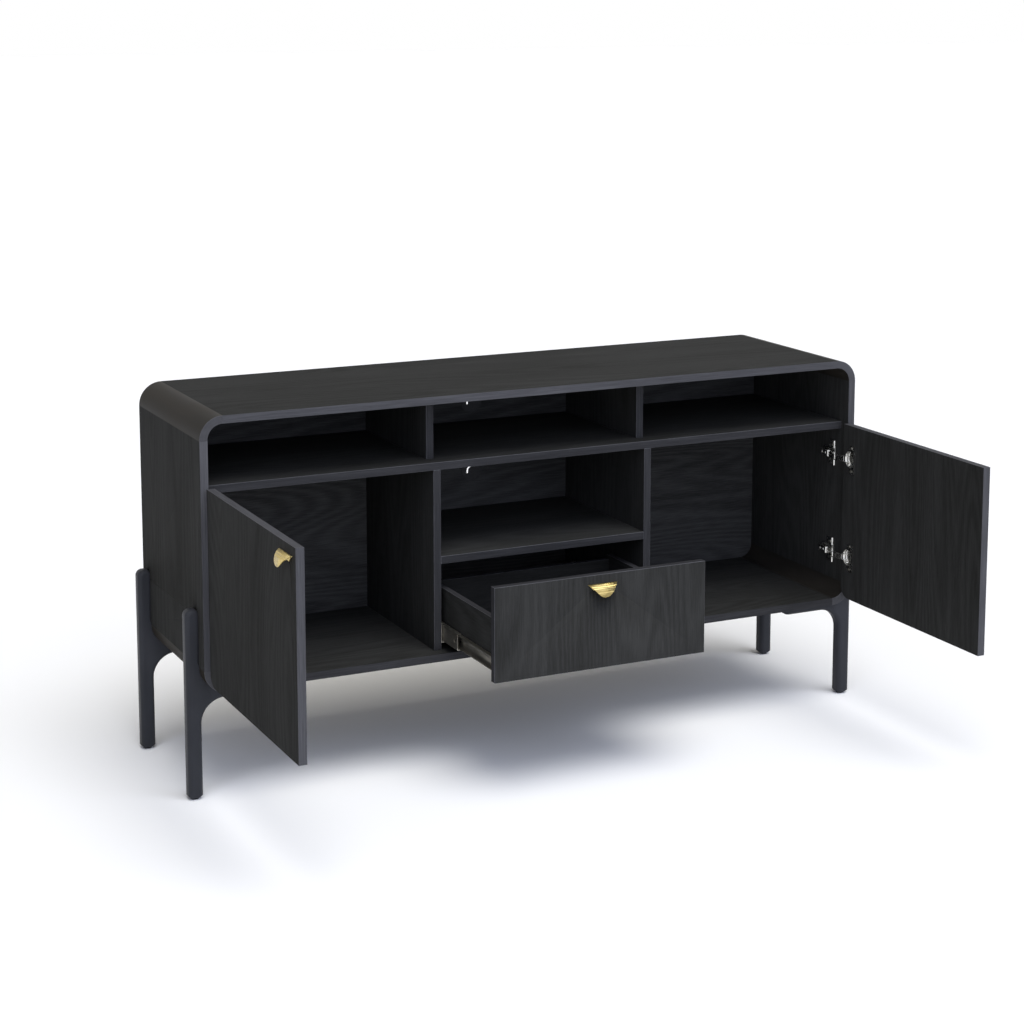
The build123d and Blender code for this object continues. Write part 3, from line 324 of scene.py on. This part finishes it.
def welded(node):
    """A frame node's triangles joined into one closed skin, with each flat face in one piece."""
    skin = bmesh.new()
    skin.from_mesh(frame["nodes"][node].data)
    bmesh.ops.remove_doubles(skin, verts=skin.verts[:], dist=WELD)
    flat = math.radians(FLAT_DEG)
    bmesh.ops.dissolve_limit(skin, angle_limit=flat, verts=skin.verts[:], edges=skin.edges[:])
    return skin


def settle(mesh, name, nodes, sharp_deg=32):
    """A finished mesh as a piece on its nodes' body, standing in for them."""
    for polygon in mesh.polygons:
        polygon.use_smooth = True
    mesh.set_sharp_from_angle(angle=math.radians(sharp_deg))
    piece = bpy.data.objects.new(name, mesh)
    bpy.context.scene.collection.objects.link(piece)
    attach(piece, frame["nodes"][nodes[0]]["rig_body"])
    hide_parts(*nodes)
    return piece


def side_faces(skin, low, high, side):
    """The faces that lie in one side of the box, a side being a sign and an axis such as -Y."""
    axis = AXES[side[1]]
    sign = 1 if side[0] == "+" else -1
    plane = high[axis] if sign > 0 else low[axis]
    facing = [f for f in skin.faces if f.normal[axis] * sign > 0.99]
    return [f for f in facing if abs(f.calc_center_median()[axis] - plane) < ON_PLANE]


def long_axis(low, high, side):
    """The axis along which an edge face of the board runs."""
    size = [h - l for l, h in zip(low, high)]
    size[AXES[side[1]]] = 0
    return "XYZ"[size.index(max(size))]


def square_edges(skin, faces):
    """The edges where one of the faces turns by more than half a right angle, in the order of the faces."""
    found = dict.fromkeys(e for f in faces for e in f.edges if len(e.link_faces) == 2)
    return [e for e in found if e.calc_face_angle(0.0) > math.radians(45)]


def bevel(skin, edges, width_mm, segments=1, material=0):
    """Breaks the edges by a width. The new faces take the material with that number."""
    bmesh.ops.bevel(
        skin,
        geom=edges,
        offset=width_mm * MM,
        segments=segments,
        affect="EDGES",
        clamp_overlap=True,
        material=material,
    )


def laminated_board(node, grain, banded, seams=(), decor=OAK, tapes=BANDING, chamfer_mm=0.6):
    """A board: decor on its faces, tape on banded sides with a trimmed arris coloured as a painted highlight,
    a hairline at its joints.
    """
    low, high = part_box(node)
    skin = welded(node)
    mesh = bpy.data.meshes.new(node + "_laminated")
    finishes = [decor[grain], PAINTED_HIGHLIGHT_ARRIS]
    for side in banded:
        tape = tapes[long_axis(low, high, side)]
        if tape not in finishes:
            finishes.append(tape)
        for face in side_faces(skin, low, high, side):
            face.material_index = finishes.index(tape)
    if seams:
        joint_faces = [f for side in seams for f in side_faces(skin, low, high, side)]
        bevel(skin, square_edges(skin, joint_faces), SEAM_MM)
    tape_faces = [f for side in banded for f in side_faces(skin, low, high, side)]
    bevel(skin, square_edges(skin, tape_faces), chamfer_mm, material=finishes.index(PAINTED_HIGHLIGHT_ARRIS))
    skin.to_mesh(mesh)
    skin.free()
    for finish in finishes:
        mesh.materials.append(finish)
    return settle(mesh, node + "_laminated", [node], sharp_deg=25)


def softened(node, suffix, finish, round_mm=0.0):
    """A part with its own finish and its hard edges rounded, as pressing, casting or plating leaves them."""
    skin = welded(node)
    mesh = bpy.data.meshes.new(node + suffix)
    if round_mm:
        inner = [e for e in skin.edges if len(e.link_faces) == 2]
        hard = [e for e in inner if e.calc_face_angle(0.0) > math.radians(HARD_DEG)]
        bevel(skin, hard, round_mm, segments=2)
    skin.to_mesh(mesh)
    skin.free()
    mesh.materials.append(finish)
    return settle(mesh, node + suffix, [node])


def lacquered_corner(node):
    """A curved corner rail: lacquer round it, the paler sprayed end grain on its front and back."""
    low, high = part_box(node)
    skin = welded(node)
    ends = side_faces(skin, low, high, "-Y") + side_faces(skin, low, high, "+Y")
    for face in ends:
        face.material_index = 1
    finishes = (CORNER, CORNER_END, PAINTED_HIGHLIGHT_ARRIS)
    # The broken rim of the end faces takes the arris finish, a painted highlight.
    bevel(skin, square_edges(skin, ends), 0.5, material=finishes.index(PAINTED_HIGHLIGHT_ARRIS))
    mesh = bpy.data.meshes.new(node + "_lacquered")
    skin.to_mesh(mesh)
    skin.free()
    for finish in finishes:
        mesh.materials.append(finish)
    return settle(mesh, node + "_lacquered", [node], sharp_deg=28)


# ---------------------------------------------------------------- repeated fasteners

HEAD_INSET = 0.02 * MM  # a head is this much narrower than the one it stands in for
RECESS_WIDTH = 0.13  # width and length of a cross recess, as shares of the head's diameter
RECESS_LENGTH = 0.62
RECESS_DEPTH = 0.6  # as a share of the head's height


def screw_tree(finish):
    """Geometry nodes that put a cross-recessed screw on each point, its head facing the point's aim."""
    tree = bpy.data.node_groups.new("cross_recess_screws", "GeometryNodeTree")
    tree.interface.new_socket("Seats", in_out="INPUT", socket_type="NodeSocketGeometry")
    for name in (
        "Head diameter",
        "Head foot diameter",
        "Head height",
        "Shank diameter",
        "Shank length",
        "Recess width",
        "Recess length",
        "Recess depth",
    ):
        tree.interface.new_socket(name, in_out="INPUT", socket_type="NodeSocketFloat")
    tree.interface.new_socket("Screws", in_out="OUTPUT", socket_type="NodeSocketGeometry")
    given = add(tree, "NodeGroupInput").outputs

    head_radius = add(tree, MATH, {0: given["Head diameter"], 1: 0.5}, operation="MULTIPLY")
    foot_radius = add(tree, MATH, {0: given["Head foot diameter"], 1: 0.5}, operation="MULTIPLY")
    head_sizes = {"Vertices": 28, "Radius Top": head_radius, "Radius Bottom": foot_radius}
    cut = add(tree, "GeometryNodeMeshCone", {**head_sizes, "Depth": given["Head height"]})
    deep = add(tree, MATH, {0: given["Recess depth"], 1: 2.0}, operation="MULTIPLY")
    head_top = add(tree, "ShaderNodeCombineXYZ", {"Z": given["Head height"]})
    for across, down in (("Recess length", "Recess width"), ("Recess width", "Recess length")):
        size = add(tree, "ShaderNodeCombineXYZ", {"X": given[across], "Y": given[down], "Z": deep})
        bar = add(tree, "GeometryNodeMeshCube", {"Size": size})
        raised = add(tree, "GeometryNodeTransform", {"Geometry": bar, "Translation": head_top})
        pair = {"Mesh 1": cut, "Mesh 2": raised}
        cut = add(tree, "GeometryNodeMeshBoolean", pair, operation="DIFFERENCE", solver="EXACT")

    shank_radius = add(tree, MATH, {0: given["Shank diameter"], 1: 0.5}, operation="MULTIPLY")
    shank_sizes = {"Vertices": 16, "Radius": shank_radius, "Depth": given["Shank length"]}
    shank = add(tree, "GeometryNodeMeshCylinder", shank_sizes)
    below = add(tree, MATH, {0: given["Shank length"], 1: -0.5}, operation="MULTIPLY")
    shank_middle = add(tree, "ShaderNodeCombineXYZ", {"Z": below})
    sunk = add(tree, "GeometryNodeTransform", {"Geometry": shank, "Translation": shank_middle})
    join = add(tree, "GeometryNodeJoinGeometry", {"Geometry": sunk})
    tree.links.new(cut.outputs[0], join.inputs["Geometry"])

    aim = add(tree, "GeometryNodeInputNamedAttribute", {"Name": "aim"}, data_type="FLOAT_VECTOR")
    turn = add(tree, "FunctionNodeAlignRotationToVector", {"Vector": aim}, axis="Z")
    seated = {"Points": given["Seats"], "Instance": join, "Rotation": turn}
    placed = add(tree, "GeometryNodeInstanceOnPoints", seated)
    solid = add(tree, "GeometryNodeRealizeInstances", {"Geometry": placed})
    painted = add(tree, "GeometryNodeSetMaterial", {"Geometry": solid, "Material": finish})
    add(tree, "NodeGroupOutput", {"Screws": painted})
    return tree


def separate_solids(node):
    """The corner points of each separate solid of a node, in the order of the mesh."""
    skin = bmesh.new()
    skin.from_mesh(frame["nodes"][node].data)
    bmesh.ops.remove_doubles(skin, verts=skin.verts[:], dist=WELD)
    seen = set()
    groups = []
    for first in skin.verts:
        if first in seen:
            continue
        seen.add(first)
        pending = [first]
        group = []
        while pending:
            vert = pending.pop()
            group.append(vert.co.copy())
            for other in [edge.other_vert(vert) for edge in vert.link_edges]:
                if other not in seen:
                    seen.add(other)
                    pending.append(other)
        groups.append(group)
    skin.free()
    return groups


def screw_seat(points):
    """Centre of the head's outer face, its direction, the length and the head diameter of a screw's solid."""
    low = Vector([min(p[i] for p in points) for i in range(3)])
    high = Vector([max(p[i] for p in points) for i in range(3)])
    size = high - low
    axis = max(range(3), key=lambda i: size[i])
    centre = (low + high) / 2
    reach = {-1: 0.0, 1: 0.0}
    for p in points:
        side = -1 if p[axis] < centre[axis] else 1
        spread = Vector([p[i] - centre[i] for i in range(3) if i != axis]).length
        reach[side] = max(reach[side], spread)
    facing = 1 if reach[1] > reach[-1] else -1
    aim = Vector([facing if i == axis else 0 for i in range(3)])
    top = centre + aim * size[axis] / 2
    return top, aim, size[axis], 2 * max(reach.values())


def nodes_to_mesh(holder, tree, values, name):
    """Runs a geometry tree on a mesh of points and returns the result as a plain mesh."""
    modifier = holder.modifiers.new("repeat", "NODES")
    modifier.node_group = tree
    keys = {item.name: item.identifier for item in tree.interface.items_tree if item.in_out == "INPUT"}
    for label, value in values.items():
        modifier[keys[label]] = value
    graph = bpy.context.evaluated_depsgraph_get()
    made = bpy.data.meshes.new_from_object(holder.evaluated_get(graph))
    made.name = name
    holder.modifiers.remove(modifier)
    bpy.data.objects.remove(holder)
    return made


def screws(node, suffix, finish, head_mm, shank_mm, countersunk):
    """Every screw of one node, made again with a cross recess."""
    seats = [screw_seat(points) for points in separate_solids(node)]
    length = seats[0][2]
    diameter = seats[0][3] - HEAD_INSET
    base = bpy.data.meshes.new(node + "_seats")
    base.from_pydata([top - aim * head_mm * MM for top, aim, _, _ in seats], [], [])
    aims = base.attributes.new("aim", "FLOAT_VECTOR", "POINT")
    for place, seat in zip(aims.data, seats):
        place.vector = seat[1]
    holder = bpy.data.objects.new(node + "_seats", base)
    bpy.context.scene.collection.objects.link(holder)
    values = {
        "Head diameter": diameter,
        "Head foot diameter": shank_mm * MM if countersunk else diameter,
        "Head height": head_mm * MM,
        "Shank diameter": shank_mm * MM,
        "Shank length": length - head_mm * MM,
        "Recess width": diameter * RECESS_WIDTH,
        "Recess length": diameter * RECESS_LENGTH,
        "Recess depth": head_mm * RECESS_DEPTH * MM,
    }
    mesh = nodes_to_mesh(holder, screw_tree(finish), values, node + suffix)
    return settle(mesh, node + suffix, [node])


# ---------------------------------------------------------------- the cabinet

BANDED_FRONT_AND_BACK = ("-Y", "+Y")
laminated_board("top_panel", "X", BANDED_FRONT_AND_BACK, seams=("-X", "+X"))
laminated_board("bottom_panel", "X", BANDED_FRONT_AND_BACK, seams=("-X", "+X"), tapes=PAINTED_SHADE_BANDING)
for side in ("left", "right"):
    laminated_board(side + "_side_panel", "Z", BANDED_FRONT_AND_BACK, seams=("-Z", "+Z"))
    laminated_board("upper_" + side + "_divider", "Z", ("-Y",), tapes=PAINTED_SHADE_BANDING)
    laminated_board("lower_" + side + "_divider", "Z", ("-Y",), tapes=PAINTED_SHADE_BANDING)
    laminated_board(side + "_door", "Z", ("-Y", "+Y", "-Z", "+Z"))
    laminated_board("drawer_" + side + "_side", "Y", ("+Z",), tapes=PAINTED_SHADE_BANDING, chamfer_mm=0.4)
for shelf in ("long_shelf", "middle_shelf"):
    laminated_board(shelf, "X", ("-Y",), tapes=PAINTED_SHADE_BANDING)
laminated_board("back_panel", "X", (), decor=OAK_BACK_PAINTED_LIGHT)
laminated_board("drawer_front", "Z", ("-X", "+X", "-Z", "+Z"), tapes=PAINTED_SHADE_BANDING)
laminated_board("drawer_back", "X", ("+Z",), tapes=PAINTED_SHADE_BANDING, chamfer_mm=0.4)
laminated_board("drawer_bottom", "X", ())
for corner in ("top_left_corner", "top_right_corner", "bottom_left_corner", "bottom_right_corner"):
    lacquered_corner(corner)
for leg in ("front_left_leg", "front_right_leg", "rear_left_leg", "rear_right_leg"):
    softened(leg, "_coated", LEG_PAINT)
for cover in ("upper_cable_cover", "lower_cable_cover"):
    softened(cover, "_moulded", COVER_ABS, round_mm=0.4)
softened("foot_glides", "_moulded", GLIDE_ABS)
for pull in ("left_door_pull", "right_door_pull", "drawer_pull"):
    softened(pull, "_brushed", BRASS, round_mm=0.45)
softened("hinge_plates", "_plated", NICKEL, round_mm=0.25)
softened("hinge_arms", "_plated", NICKEL, round_mm=0.25)
for side in ("left", "right"):
    softened(side + "_hinge_cups", "_plated", NICKEL, round_mm=0.25)
    softened(side + "_hinge_links", "_plated", NICKEL, round_mm=0.25)
    softened(side + "_hinge_pins", "_plated", SCREW_STEEL)
    softened(side + "_pull_studs", "_turned", SCREW_STEEL)
softened("drawer_pull_studs", "_turned", SCREW_STEEL)
for side in ("left", "right"):
    for member in ("cabinet", "middle", "drawer"):
        softened(side + "_slide_" + member + "_member", "_rolled", ZINC)
softened("ball_retainers", "_plated", SCREW_STEEL)
softened("shelf_cams", "_cast", SCREW_STEEL, round_mm=0.2)
softened("shelf_cam_bolts", "_turned", SCREW_STEEL)
softened("carcass_dowels", "_turned", BEECH)
softened("drawer_dowels", "_turned", BEECH)

for node in ("hinge_plate_screws", "left_door_screws", "right_door_screws"):
    screws(node, "_plated", SCREW_STEEL, head_mm=2.0, shank_mm=3.5, countersunk=True)
for node in ("slide_cabinet_screws", "slide_drawer_screws"):
    screws(node, "_plated", DARK_STEEL, head_mm=1.2, shank_mm=3.5, countersunk=True)
screws("leg_screws", "_plated", DARK_STEEL, head_mm=3.0, shank_mm=6.0, countersunk=False)
screws("divider_screws", "_plated", DARK_STEEL, head_mm=4.0, shank_mm=6.0, countersunk=True)
screws("drawer_box_screws", "_plated", DARK_STEEL, head_mm=2.0, shank_mm=2.5, countersunk=True)


# ---------------------------------------------------------------- studio


LENS = 77.48
LENS_SHIFT = -0.19
CAMERA_PLACE = (-1.8650, -3.66785, 1.4897)
CAMERA_DOWN_DEG = 8.683
CAMERA_RIGHT_DEG = 25.676
FLOOR_REACH = 40.0


def studio_camera():
    """A long lens from the cabinet's left, a little above it."""
    data = bpy.data.cameras.new("studio_camera")
    data.sensor_width = 36
    data.lens = LENS
    data.shift_y = LENS_SHIFT
    data.clip_end = 100
    camera = bpy.data.objects.new("studio_camera", data)
    camera.location = CAMERA_PLACE
    camera.rotation_euler = (math.radians(90 - CAMERA_DOWN_DEG), 0, math.radians(-CAMERA_RIGHT_DEG))
    bpy.context.scene.collection.objects.link(camera)
    bpy.context.scene.camera = camera


def studio_floor():
    """A pale floor that runs far past the view."""
    mesh = bpy.data.meshes.new("studio_floor")
    corners = [(x * FLOOR_REACH, y * FLOOR_REACH, 0) for x, y in ((-1, -1), (1, -1), (1, 1), (-1, 1))]
    mesh.from_pydata(corners, [], [(0, 1, 2, 3)])
    material, _, shader = new_finish("pale_studio_floor", Roughness=0.8, Specular_IOR_Level=0.1)
    shader.inputs["Base Color"].default_value = linear("#fcfcfc")
    mesh.materials.append(material)
    floor = bpy.data.objects.new("studio_floor", mesh)
    bpy.context.scene.collection.objects.link(floor)


def studio_key(name, azimuth, elevation, spread, strength, colour):
    """One very broad, distant soft light. Azimuth 0 shines from the front, 90 from the cabinet's left."""
    data = bpy.data.lights.new(name, "SUN")
    data.angle = math.radians(spread)
    data.energy = strength
    data.color = linear(colour)[:3]
    light = bpy.data.objects.new(name, data)
    turn, rise = math.radians(azimuth), math.radians(elevation)
    shine = Vector((math.sin(turn) * math.cos(rise), math.cos(turn) * math.cos(rise), -math.sin(rise)))
    light.rotation_euler = shine.to_track_quat("-Z", "Y").to_euler()
    bpy.context.scene.collection.objects.link(light)


def studio_world():
    """A dim warm room for the shading, and a white one for the camera and, in part, for reflections."""
    world = bpy.data.worlds.new("studio_world")
    world.use_nodes = True
    tree = world.node_tree
    tree.nodes.clear()
    room = add(tree, "ShaderNodeBackground", {"Color": linear("#fffaf0"), "Strength": 0.17})
    backdrop = add(tree, "ShaderNodeBackground", {"Color": linear("#ffffff"), "Strength": 1.0})
    ray = add(tree, "ShaderNodeLightPath").outputs
    mirrored = add(tree, MATH, {0: ray["Is Glossy Ray"], 1: 0.8}, operation="MULTIPLY")
    seen = add(tree, MATH, {0: ray["Is Camera Ray"], 1: mirrored}, operation="ADD")
    both = add(tree, "ShaderNodeMixShader", {0: seen, 1: room, 2: backdrop})
    add(tree, "ShaderNodeOutputWorld", {"Surface": both})
    bpy.context.scene.world = world


studio_camera()
studio_floor()
studio_world()
bpy.context.scene.view_settings.view_transform = "Standard"
studio_key("overhead_key", azimuth=-8, elevation=72, spread=45, strength=2.0, colour="#fffdf6")
studio_key("front_key", azimuth=0, elevation=22, spread=110, strength=3.1, colour="#dde6ff")
